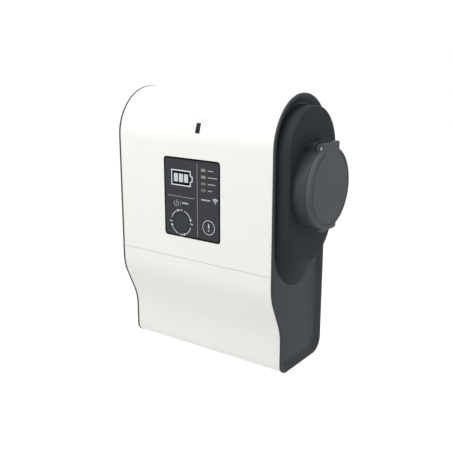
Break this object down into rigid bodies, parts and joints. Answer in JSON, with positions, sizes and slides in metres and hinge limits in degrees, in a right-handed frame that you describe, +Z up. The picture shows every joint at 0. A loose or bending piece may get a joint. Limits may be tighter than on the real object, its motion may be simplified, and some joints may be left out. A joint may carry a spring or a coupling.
{
  "type": "wall charging unit with a lidded socket outlet",
  "caption": "Wall-mounted vehicle charging unit with an arched white cover, dark side cheeks, a control panel and a lidded round socket on its right side.",
  "frame": {"origin": "centre of the four wall fixing holes, on the wall plane", "axes": "+Y into the wall, so the front faces -Y; +Z up; +X towards the socket side"},
  "size_m": [0.2747, 0.1224, 0.3515],
  "materials": {
    "white_cover": "satin white moulded cover",
    "anthracite_shell": "fine-grained anthracite moulding",
    "anthracite_plinth": "fine-grained dark anthracite moulding",
    "anthracite_lid": "fine-grained anthracite moulding",
    "panel_plastic": "satin dark grey panel",
    "button_plastic": "satin dark blue-grey button cap",
    "lit_lens": "translucent light grey lens",
    "lamp_lens": "translucent grey lens",
    "window_plastic": "dark tinted lens",
    "black_rubber": "black elastomer",
    "black_plastic": "black glass-filled plastic",
    "grey_plastic": "light grey plastic",
    "grey_gland": "grey nylon",
    "steel": "bright zinc-plated steel",
    "zinc_steel": "zinc-plated sheet steel",
    "brass": "plain brass",
    "silvered_brass": "silver-plated brass",
    "copper": "bare copper",
    "circuit_board": "green solder mask",
    "led_package": "white LED package",
    "relay_plastic": "blue relay case",
    "transformer": "yellow tape and grey core",
    "capacitor_can": "drawn aluminium can",
    "shield_can": "tinned steel can",
    "connector_green": "green connector plastic",
    "black_insulation": "black wire insulation",
    "white_insulation": "white wire insulation",
    "grey_insulation": "grey ribbon cable",
    "earth_green": "green earth terminal"
  },
  "bodies": {
    "unit": {"back_shell": "anthracite_shell", "left_cheek": "anthracite_shell", "right_cheek": "anthracite_shell", "cheek_seals": "black_rubber", "upper_cover": "white_cover", "lower_cover": "white_cover", "partition_shelf": "grey_plastic", "cheek_screws": "steel", "upper_cover_screws": "steel", "lower_cover_screws": "steel", "control_fascia": "panel_plastic", "fascia_seal": "black_rubber", "charge_bar_lenses": "lit_lens", "status_lamp_lenses": "lamp_lens", "fault_lamp_lens": "lit_lens", "tactile_switch": "black_plastic", "display_board": "circuit_board", "display_leds": "led_package", "display_board_screws": "steel", "status_window": "window_plastic", "reader_board": "circuit_board", "reader_coil": "copper", "status_led": "led_package", "socket_plinth": "anthracite_plinth", "plinth_screws": "steel", "socket_collar": "anthracite_shell", "socket_housing": "black_plastic", "contact_retainer": "black_plastic", "socket_gasket": "black_rubber", "contact_carrier": "black_plastic", "power_contacts": "silvered_brass", "signal_contacts": "silvered_brass", "socket_screws": "steel", "lock_actuator": "black_plastic", "hinge_pin": "steel", "lid_spring": "steel", "main_board": "circuit_board", "board_standoffs": "brass", "board_screws": "steel", "charging_relays": "relay_plastic", "fault_current_sensor": "black_plastic", "power_transformer": "transformer", "filter_capacitors": "capacitor_can", "control_module": "shield_can", "board_connectors": "connector_green", "socket_leads": "black_insulation", "signal_leads": "white_insulation", "supply_leads": "black_insulation", "din_rail": "zinc_steel", "supply_terminals": "grey_plastic", "earth_terminal": "earth_green", "ribbon_cable": "grey_insulation", "gland_body": "grey_gland", "gland_nut": "grey_gland", "gland_seal": "black_rubber"},
    "lid": {"socket_lid": "anthracite_lid", "lid_seal": "black_rubber"},
    "button": {"timer_button": "button_plastic", "switch_plunger": "black_plastic"},
    "bolt": {"lock_bolt": "steel"}
  },
  "joints": [
    {"name": "socket_lid_hinge", "type": "hinge", "parent": "unit", "child": "lid", "pos_m": [0.1511, -0.0612, 0.1103], "axis": [0, -1, 0], "range_deg": [0, 105], "stiffness_Nm_per_rad": 0.05, "springref_deg": -34.38},
    {"name": "timer_button_press", "type": "slide", "parent": "unit", "child": "button", "axis": [0, 1, 0], "range_m": [0, 0.0009], "stiffness_N_per_m": 600, "springref_m": -0.0005},
    {"name": "lock_bolt_slide", "type": "slide", "parent": "unit", "child": "bolt", "axis": [0, 0, -1], "range_m": [0, 0.007]}
  ]
}
